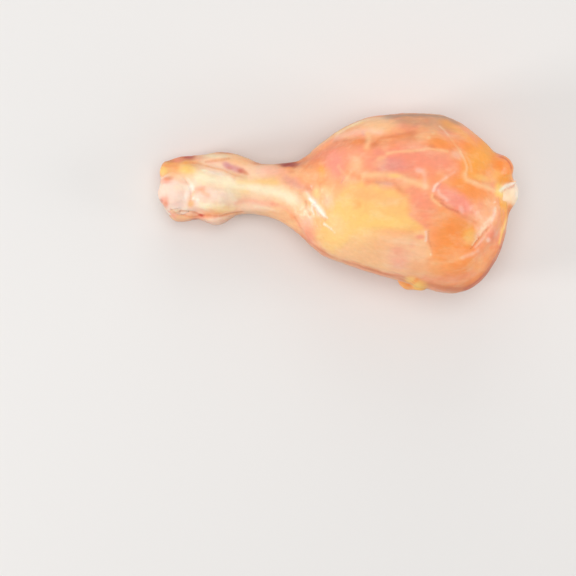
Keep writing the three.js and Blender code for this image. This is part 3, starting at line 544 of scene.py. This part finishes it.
def smooth_curve(points, closed=False):
    """Plan points on a smooth curve through the given ones."""
    given = np.array(points, float)
    count = len(given)
    found = []
    for i in range(count if closed else count - 1):
        if closed:
            a, b, c, d = (given[(i + k) % count] for k in (-1, 0, 1, 2))
        else:
            b, c = given[i], given[i + 1]
            a = given[i - 1] if i else 2 * b - c
            d = given[i + 2] if i + 2 < count else 2 * c - b
        steps = max(2, int(np.linalg.norm(c - b) / CURVE_SPACING))
        t = np.arange(steps)[:, None] / steps
        square = 2 * a - 5 * b + 4 * c - d
        cube = 3 * b - a - 3 * c + d
        found.append(0.5 * (2 * b + (c - a) * t + square * t**2 + cube * t**3))
    if not closed:
        found.append(given[-1:])
    return np.vstack(found)


def fade(distance):
    """1 at nothing, and close to 0 at 2."""
    return np.exp(-(distance**2))


def step(low, high, value):
    """0 up to the low value and 1 from the high one, with a smooth rise between them."""
    share = np.clip((value - low) / (high - low), 0, 1)
    return share * share * (3 - 2 * share)


def within(distance, limit):
    """1 up to half the limit, and down to 0 at the limit."""
    return 1 - step(0.5, 1.0, distance / limit)


class Skin:
    """A finely meshed piece made from nodes of the frame, whose surface strokes colour and raise."""

    def __init__(self, nodes, name, voxel, softening):
        mesh = bpy.data.meshes.new(name)
        shape = bmesh.new()
        for node in nodes:
            shape.from_mesh(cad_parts[node].data)
        bmesh.ops.remove_doubles(shape, verts=shape.verts, dist=1e-6)
        shape.to_mesh(mesh)
        shape.free()
        self.object = bpy.data.objects.new(name, mesh)
        bpy.context.scene.collection.objects.link(self.object)
        self.remake("REMESH", mode="VOXEL", voxel_size=voxel * MM)
        self.soften(times=softening)
        self.settle()

    def remake(self, modifier, **settings):
        """Puts the mesh that a modifier makes in place of the mesh."""
        made = self.object.modifiers.new("remake", modifier)
        for name, value in settings.items():
            setattr(made, name, value)
        old = self.object.data
        shown = self.object.evaluated_get(bpy.context.evaluated_depsgraph_get())
        self.object.data = bpy.data.meshes.new_from_object(shown)
        self.object.data.name = self.object.name
        self.object.modifiers.clear()
        bpy.data.meshes.remove(old)
        self.count = len(self.object.data.vertices)
        self.edges = self.read(self.object.data.edges, "vertices", 2, np.int32)
        self.points = self.read(self.object.data.vertices, "co", 3) / MM
        self.weights = {pigment: np.zeros(self.count) for pigment in PIGMENTS}

    def thin_unseen(self, kept):
        """Merges small faces that no view from above shows."""
        off = self.points + CLEAR * self.normals
        covered = [self.tree.ray_cast(Vector(point), Vector((0, 0, 1)))[0] is not None for point in off]
        unseen = self.object.vertex_groups.new(name="unseen")
        hidden = (self.normals[:, 2] < UNDERSIDE_FROM) | covered
        unseen.add(np.flatnonzero(hidden).tolist(), 1.0, "REPLACE")
        self.remake("DECIMATE", ratio=kept, vertex_group="unseen")
        self.settle()

    @staticmethod
    def read(items, field, width, kind=np.float32):
        """One row for each item, with the numbers of a field of that width."""
        values = np.zeros(len(items) * width, kind)
        items.foreach_get(field, values)
        return values.reshape(-1, width).astype(float if kind == np.float32 else int)

    def soften(self, times):
        """Moves each point halfway to the middle of its neighbours."""
        a, b = self.edges.T
        near = np.bincount(a, minlength=self.count) + np.bincount(b, minlength=self.count)
        for _ in range(times):
            for axis in range(3):
                values = self.points[:, axis]
                total = np.bincount(a, values[b], self.count) + np.bincount(b, values[a], self.count)
                self.points[:, axis] = values + 0.5 * (total / near - values)

    def settle(self):
        """Writes the points to the mesh, none of them below the floor, and reads the normals again."""
        self.points[:, 2] = np.maximum(self.points[:, 2], 0)
        mesh = self.object.data
        mesh.vertices.foreach_set("co", (self.points * MM).astype(np.float32).ravel())
        mesh.update()
        self.normals = self.read(mesh.vertex_normals, "vector", 3)
        self.faces = [tuple(face.vertices) for face in mesh.polygons]
        self.tree = BVHTree.FromPolygons(self.points.tolist(), self.faces)
        up = self.normals[:, 2]
        self.facing = {side: step(-FACING_FADE, FACING_FADE, up * side) for side in (SHOWN, HIDDEN)}
        depth = (EYE.z - PLANE) / (EYE.z - self.points[:, 2])
        eye, origin = np.array(EYE)[:2], np.array(ORIGIN)[:2]
        across = self.points[:, :2]
        self.plan = {SHOWN: eye + (across - eye) * depth[:, None] - origin, HIDDEN: across - origin}

    def fit(self, joined, other, under, depth):
        """Draws the points near another piece's edge to a depth below the joined surface and past that edge.

        Points between the joints stay, and so do those that lie deeper than under.
        """
        for i, given in enumerate(self.points):
            point = Vector(given)
            if abs(point.x) < JOINTS_FROM:
                continue
            near, _, _, gap = other.find_nearest(point, JOINED_REACH)
            if near is None:
                continue
            below = joined.find_nearest(point)[3]
            share = within(gap, JOINED_REACH) * within(below, under)
            share *= step(JOINTS_FROM, JOINTS_FROM + JOINTS_FADE, abs(point.x))
            beyond = (near - point).normalized() * (gap + OVERLAP) * (1 - step(0.0, OVERLAP_REACH, gap))
            place, normal = joined.find_nearest(point + beyond)[:2]
            self.points[i] += share * np.array(place - normal * depth - point)
        self.soften(times=2)
        self.settle()

    def noise(self, size, pattern, octaves=3):
        """Smooth noise between about -1 and 1, whose blobs are of that size."""
        seed = SEEDS[pattern]
        shift = Vector((seed * 17.3, seed * 5.1, seed * 9.7))
        return np.array([noise.fractal(Vector(p) / size + shift, 1.0, 2.0, octaves) for p in self.points])

    def on_surface(self, place, side):
        """The point of the leg's surface seen at a plan place, or the nearest to it beside the outline."""
        mid = ORIGIN + Vector((*place, PLANE))
        start, aim = (EYE, mid - EYE) if side == SHOWN else (mid - DROP, DROP)
        hit = self.outside.ray_cast(start, aim.normalized())[0]
        return np.array(hit or self.outside.find_nearest(mid)[0])

    def line_mask(self, given, wobble):
        route = np.array([self.on_surface(p, given["side"]) for p in smooth_curve(given["through"])])
        margin = BOX_REACHES * given["reach"] + BOX_SPARE
        low, high = route.min(0) - margin, route.max(0) + margin
        close = np.all((self.points > low) & (self.points < high), axis=1)
        gaps = np.full(self.count, FAR)
        gaps[close] = np.sqrt(((self.points[close, None] - route[None]) ** 2).sum(2).min(1))
        return fade(gaps / (given["reach"] * (1 + LINE_WOBBLE * wobble)))

    def spot_mask(self, given, wobble):
        turn = given["turn"]
        off = self.plan[given["side"]] - np.array(given["at"])
        u = off[:, 0] * math.cos(turn) + off[:, 1] * math.sin(turn)
        v = off[:, 1] * math.cos(turn) - off[:, 0] * math.sin(turn)
        rim = np.hypot(u / given["size"][0], v / given["size"][1]) * (1 + SPOT_WOBBLE * wobble)
        return fade(rim**SPOT_EDGE)

    def patch_mask(self, given, wobble):
        """A point is inside if a line from it crosses the outline an odd number of times."""
        across = self.plan[given["side"]]
        outline = smooth_curve(given["through"], closed=True)
        inside = np.zeros(self.count, bool)
        gap = np.full(self.count, FAR)
        for (ax, ay), (bx, by) in zip(outline, np.roll(outline, -1, axis=0)):
            crosses = (ay > across[:, 1]) != (by > across[:, 1])
            inside ^= crosses & (across[:, 0] < ax + (bx - ax) * (across[:, 1] - ay) / (by - ay + 1e-12))
            gap = np.minimum(gap, np.hypot(across[:, 0] - ax, across[:, 1] - ay))
        depth = np.where(inside, gap, -gap) + PATCH_WOBBLE * wobble
        return step(-given["edge"], given["edge"], depth)

    def mask(self, given, wobble):
        """How much of a stroke lies on each point, from 0 to 1."""
        shape = {"line": self.line_mask, "spot": self.spot_mask, "patch": self.patch_mask}[given["kind"]]
        return shape(given, wobble) * self.facing[given["side"]]

    def paint(self, pigment, alpha):
        """Lays a pigment over what is there."""
        for weight in self.weights.values():
            weight *= 1 - alpha
        self.weights[pigment] += alpha

    def paint_ground(self, pigment, clouds):
        """Lays the piece's own colour, with clouds of others over it."""
        self.paint(pigment, np.ones(self.count))
        for cloud, strength, (low, high), size in clouds:
            self.paint(cloud, strength * step(low, high, self.noise(size, cloud)))

    def lay(self, strokes):
        """Lays the strokes one over the other, and then raises the surface by their lifts."""
        wobble = self.noise(WOBBLE_SIZE, "wobble")
        lift = np.zeros(self.count)
        for given in strokes:
            mask = self.mask(given, wobble)
            self.paint(given["pigment"], given["strength"] * mask)
            lift += given["lift"] * mask
        self.raise_by(lift)

    def raise_by(self, lift):
        """Moves each point out along its normal."""
        self.points += self.normals * lift[:, None]
        self.settle()

    def store(self):
        """Keeps each pigment's weight as an attribute for the material."""
        for pigment, weight in self.weights.items():
            layer = self.object.data.attributes.new(pigment, "FLOAT", "POINT")
            layer.data.foreach_set("value", weight.astype(np.float32))


def add(tree, kind, inputs=None, **settings):
    """A node with its settings, whose inputs take values or other nodes' outputs."""
    node = tree.nodes.new(kind)
    for name, value in settings.items():
        setattr(node, name, value)
    for name, value in (inputs or {}).items():
        socket = node.inputs[name]
        if isinstance(value, bpy.types.NodeSocket):
            tree.links.new(value, socket)
        else:
            socket.default_value = value
    return node


def calculated(tree, operation, *values):
    """The result of a sum or a product."""
    return add(tree, "ShaderNodeMath", dict(enumerate(values)), operation=operation).outputs["Value"]


def noise_output(tree, place, scale, detail, roughness=0.55):
    """Noise with so many blobs to the metre."""
    return add(tree, "ShaderNodeTexNoise",
               {"Vector": place, "Scale": scale, "Detail": detail, "Roughness": roughness}).outputs["Fac"]


def ranged(tree, value, given, wanted):
    """A value moved from the given range into the wanted one."""
    limits = {"From Min": given[0], "From Max": given[1], "To Min": wanted[0], "To Max": wanted[1]}
    return add(tree, "ShaderNodeMapRange", {"Value": value, **limits}).outputs["Result"]


def weight_of(tree, pigment):
    return add(tree, "ShaderNodeAttribute", attribute_name=pigment).outputs["Fac"]


def painted_colour(tree):
    """The sum of the pigments, each by its weight."""
    total = (0.0, 0.0, 0.0)
    for pigment, colour in PIGMENTS.items():
        weight = weight_of(tree, pigment)
        total = add(tree, "ShaderNodeVectorMath", {0: linear(colour)[:3], 1: weight, 2: total},
                    operation="MULTIPLY_ADD").outputs["Vector"]
    return total


def wet_material(name, subsurface, radius, veils, relief):
    """Moist tissue: its painted colour, with fine streaks and pale veils of film, under a thin wet coat."""
    material = bpy.data.materials.new(name)
    material.use_nodes = True
    tree = material.node_tree
    shader = tree.nodes["Principled BSDF"]
    place = add(tree, "ShaderNodeTexCoord").outputs["Object"]
    along = add(tree, "ShaderNodeMapping", {"Vector": place, "Scale": (0.45, 1.0, 1.0)}).outputs["Vector"]
    streaks = noise_output(tree, along, scale=900.0, detail=5.0)
    clouds = noise_output(tree, place, scale=110.0, detail=4.0)
    films = noise_output(tree, along, scale=240.0, detail=6.0, roughness=0.6)
    veil = ranged(tree, films, (0.5, 0.75), (0.0, veils))
    veiled = add(tree, "ShaderNodeMix", {0: veil, 6: painted_colour(tree), 7: linear(PIGMENTS["cream"])},
                 data_type="RGBA").outputs[2]
    streak_shade = ranged(tree, streaks, NOISE_RANGE, (0.96, 1.03))
    cloud_shade = ranged(tree, clouds, NOISE_RANGE, (0.95, 1.04))
    shade = calculated(tree, "MULTIPLY", streak_shade, cloud_shade)
    toned = add(tree, "ShaderNodeVectorMath", {0: veiled, 3: shade}, operation="SCALE").outputs["Vector"]
    tree.links.new(toned, shader.inputs["Base Color"])
    dull = calculated(tree, "ADD", weight_of(tree, "fat"), weight_of(tree, "cream"))
    rough = calculated(tree, "MULTIPLY_ADD", dull, 0.35, ranged(tree, clouds, NOISE_RANGE, (0.36, 0.5)))
    tree.links.new(rough, shader.inputs["Roughness"])
    tree.links.new(ranged(tree, dull, (0.1, 0.7), (0.3, 0.02)), shader.inputs["Coat Weight"])
    even = {"Subsurface Weight": subsurface, "Subsurface Radius": radius, "Subsurface Scale": 1.0 * MM,
            "IOR": 1.4, "Coat Roughness": 0.18}
    for socket, value in even.items():
        shader.inputs[socket].default_value = value
    fine = noise_output(tree, place, scale=1500.0, detail=3.0)
    coarse = noise_output(tree, along, scale=420.0, detail=5.0)
    height = calculated(tree, "MULTIPLY_ADD", fine, 0.15, coarse)
    bump = add(tree, "ShaderNodeBump", {"Strength": 0.4, "Distance": relief * MM, "Height": height})
    tree.links.new(bump.outputs["Normal"], shader.inputs["Normal"])
    return material


def finish_piece(skin, node, material):
    """Makes the surface uneven, and puts the piece with its material in its node's place."""
    swells = SWELL_HEIGHT * skin.noise(SWELL_SIZE, "swells")
    dimples = DIMPLE_HEIGHT * skin.noise(DIMPLE_SIZE, "dimples", octaves=2)
    skin.raise_by(swells + dimples)
    skin.store()
    skin.object.data.materials.append(material)
    skin.object.data.shade_smooth()
    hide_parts(node)
    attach(skin.object, "root")


def join_outside(*skins):
    """Gives the pieces one surface, that of them all, on which the strokes' routes lie."""
    points = np.vstack([skin.points for skin in skins])
    starts = np.cumsum([0] + [skin.count for skin in skins[:-1]])
    faces = [tuple(i + start for i in face) for skin, start in zip(skins, starts) for face in skin.faces]
    outside = BVHTree.FromPolygons(points.tolist(), faces)
    for skin in skins:
        skin.outside = outside


def finish_flesh(skin):
    skin.paint_ground("flesh", FLESH_CLOUDS)
    skin.lay(STROKES)
    up = skin.normals[:, 2]
    # Painted shade: brown darkens the walls, the sides that turn away from the light.
    skin.paint("brown", WALL_SHADE_STRENGTH * step(*WALL_SHADE_TOP, up) * step(*WALL_SHADE_FOOT, up))
    flesh = wet_material("raw_flesh", subsurface=0.35, radius=(2.0, 0.8, 0.45), veils=0.22, relief=0.25)
    finish_piece(skin, "flesh", flesh)


def finish_bone(skin):
    skin.paint_ground("cartilage", BONE_CLOUDS)
    skin.lay(BONE_STROKES)
    bone = wet_material("moist_cartilage", subsurface=0.3, radius=(1.9, 0.9, 0.6), veils=0.2, relief=0.12)
    finish_piece(skin, "leg_bone", bone)


def make_joined():
    """The surface of the whole leg, with the furrows round its joints filled."""
    joined = Skin(["flesh", "leg_bone"], "joined", JOINED_VOXEL, softening=6)
    joined.raise_by(np.full(joined.count, JOINED_FILL))
    joined.remake("REMESH", mode="VOXEL", voxel_size=JOINED_VOXEL * MM)
    joined.soften(times=4)
    joined.settle()
    joined.raise_by(np.full(joined.count, -JOINED_FILL))
    joined.soften(times=6)
    joined.settle()
    bpy.data.objects.remove(joined.object)
    return joined.tree


def make_leg():
    flesh = Skin(["flesh"], "chicken_flesh", FLESH_VOXEL, softening=16)
    flesh.thin_unseen(FLESH_KEPT)
    bone = Skin(["leg_bone"], "joint_cartilage", BONE_VOXEL, softening=10)
    joined = make_joined()
    unfitted_flesh = flesh.tree
    flesh.fit(joined, bone.tree, under=1.6, depth=0.03)
    bone.fit(joined, unfitted_flesh, under=5.0, depth=0.0)
    join_outside(flesh, bone)
    finish_bone(bone)
    finish_flesh(flesh)


def make_floor():
    mesh = bpy.data.meshes.new("floor")
    height = -FLOOR_DROP * MM
    corners = [(x * FLOOR_HALF, y * FLOOR_HALF, height) for x, y in ((-1, -1), (1, -1), (1, 1), (-1, 1))]
    mesh.from_pydata(corners, [], [(0, 1, 2, 3)])
    floor = bpy.data.objects.new("floor", mesh)
    floor.visible_glossy = False
    bpy.context.scene.collection.objects.link(floor)
    material = bpy.data.materials.new("pale_floor")
    material.use_nodes = True
    shader = material.node_tree.nodes["Principled BSDF"]
    shader.inputs["Base Color"].default_value = linear(FLOOR_COLOUR)
    shader.inputs["Roughness"].default_value = 0.7
    mesh.materials.append(material)


def make_light(name, at, aim, size, power, glossy=True):
    """A square softbox, with its power in watts."""
    data = bpy.data.lights.new(name, "AREA")
    data.size = size * MM
    data.energy = power
    light = bpy.data.objects.new(name, data)
    light.location = Vector(at) * MM
    light.rotation_euler = (Vector(aim) - Vector(at)).to_track_quat("-Z", "Y").to_euler()
    light.visible_glossy = glossy
    bpy.context.scene.collection.objects.link(light)


def make_lights():
    make_light("left_softbox", at=(-720, -170, 290), aim=(-10, 0, 20), size=200, power=2.2)
    make_light("right_softbox", at=(720, -90, 270), aim=(20, 0, 20), size=300, power=1.4)
    make_light("top_softbox", at=(0, 60, 950), aim=(0, 0, 20), size=600, power=3.45, glossy=False)
    make_light("far_softbox", at=(0, 760, 330), aim=(0, 10, 20), size=500, power=1.1, glossy=False)
    world = bpy.data.worlds.new("studio")
    world.use_nodes = True
    world.node_tree.nodes["Background"].inputs["Color"].default_value = STUDIO_COLOUR
    world.node_tree.nodes["Background"].inputs["Strength"].default_value = STUDIO_STRENGTH
    bpy.context.scene.world = world


def make_camera():
    data = bpy.data.cameras.new("camera")
    data.sensor_width = SENSOR
    data.lens = SENSOR * (EYE.z - PLANE) / PICTURE_WIDTH
    data.clip_end = 10
    camera = bpy.data.objects.new("camera", data)
    camera.location = EYE * MM
    bpy.context.scene.collection.objects.link(camera)
    bpy.context.scene.camera = camera


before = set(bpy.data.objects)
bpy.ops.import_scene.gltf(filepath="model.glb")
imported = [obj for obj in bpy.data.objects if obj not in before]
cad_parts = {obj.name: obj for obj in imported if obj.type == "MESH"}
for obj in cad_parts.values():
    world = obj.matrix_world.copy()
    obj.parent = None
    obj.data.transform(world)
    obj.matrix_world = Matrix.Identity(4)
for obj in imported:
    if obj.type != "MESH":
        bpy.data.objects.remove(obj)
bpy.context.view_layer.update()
bpy.context.scene.view_settings.view_transform = "Standard"
make_camera()
make_floor()
make_lights()
make_leg()
